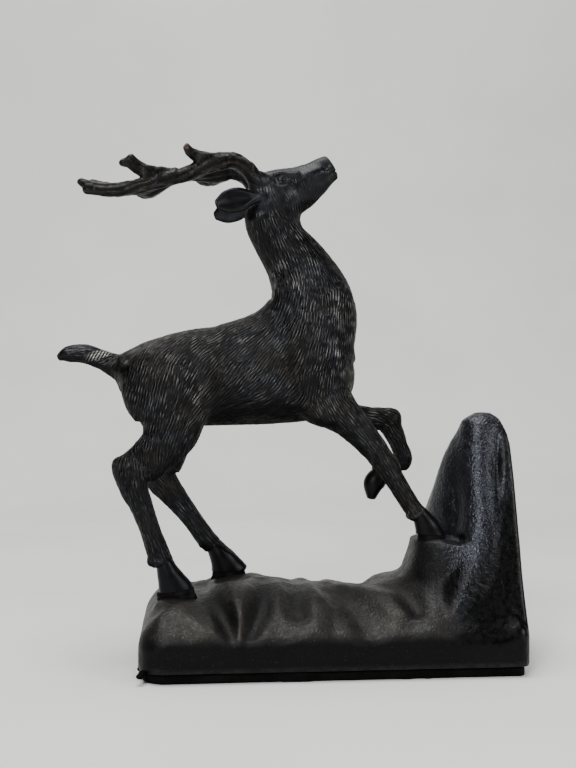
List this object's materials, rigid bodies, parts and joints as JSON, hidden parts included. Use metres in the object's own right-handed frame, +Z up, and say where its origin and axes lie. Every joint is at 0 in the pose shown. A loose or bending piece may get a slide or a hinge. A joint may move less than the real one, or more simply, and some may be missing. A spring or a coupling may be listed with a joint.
{
  "type": "stag bookend statuette",
  "caption": "Free-standing bookend statuette: a rearing stag on a rocky base, one end of which rises into a tapered upright with a flat outer face for books.",
  "frame": {"origin": "middle of the bounding box at the underside of the pad", "axes": "+X the way the stag faces, towards the flat upright; +Z up; +Y to the stag's left"},
  "size_m": [0.168, 0.071, 0.1901],
  "materials": {
    "figure_bronze": "dark brown patina, chased hair, rubbed high points",
    "antler_bronze": "dark brown patina, grooved",
    "base_bronze": "black-brown patina over a granular cast skin",
    "bedding": "black filler, matt",
    "pad_rubber": "matt",
    "fixing_steel": "plain",
    "weight_iron": "rough"
  },
  "bodies": {
    "root": {"base_casting": "base_bronze", "closing_plate": "fixing_steel", "plate_screws": "fixing_steel", "base_pad": "pad_rubber", "weight": "weight_iron", "trunk": "figure_bronze", "head": "figure_bronze", "head_dowel": "fixing_steel", "near_antler": "antler_bronze", "far_antler": "antler_bronze", "antler_dowels": "fixing_steel", "near_ear": "figure_bronze", "far_ear": "figure_bronze", "tail": "figure_bronze", "tail_dowel": "fixing_steel", "near_hind_leg": "figure_bronze", "far_hind_leg": "figure_bronze", "near_foreleg": "figure_bronze", "far_foreleg": "figure_bronze", "leg_dowels": "fixing_steel", "hoof_studs": "fixing_steel", "stud_washers": "fixing_steel", "stud_nuts": "fixing_steel", "near_hind_bed": "bedding", "far_hind_bed": "bedding", "fore_bed": "bedding"}
  },
  "joints": []
}
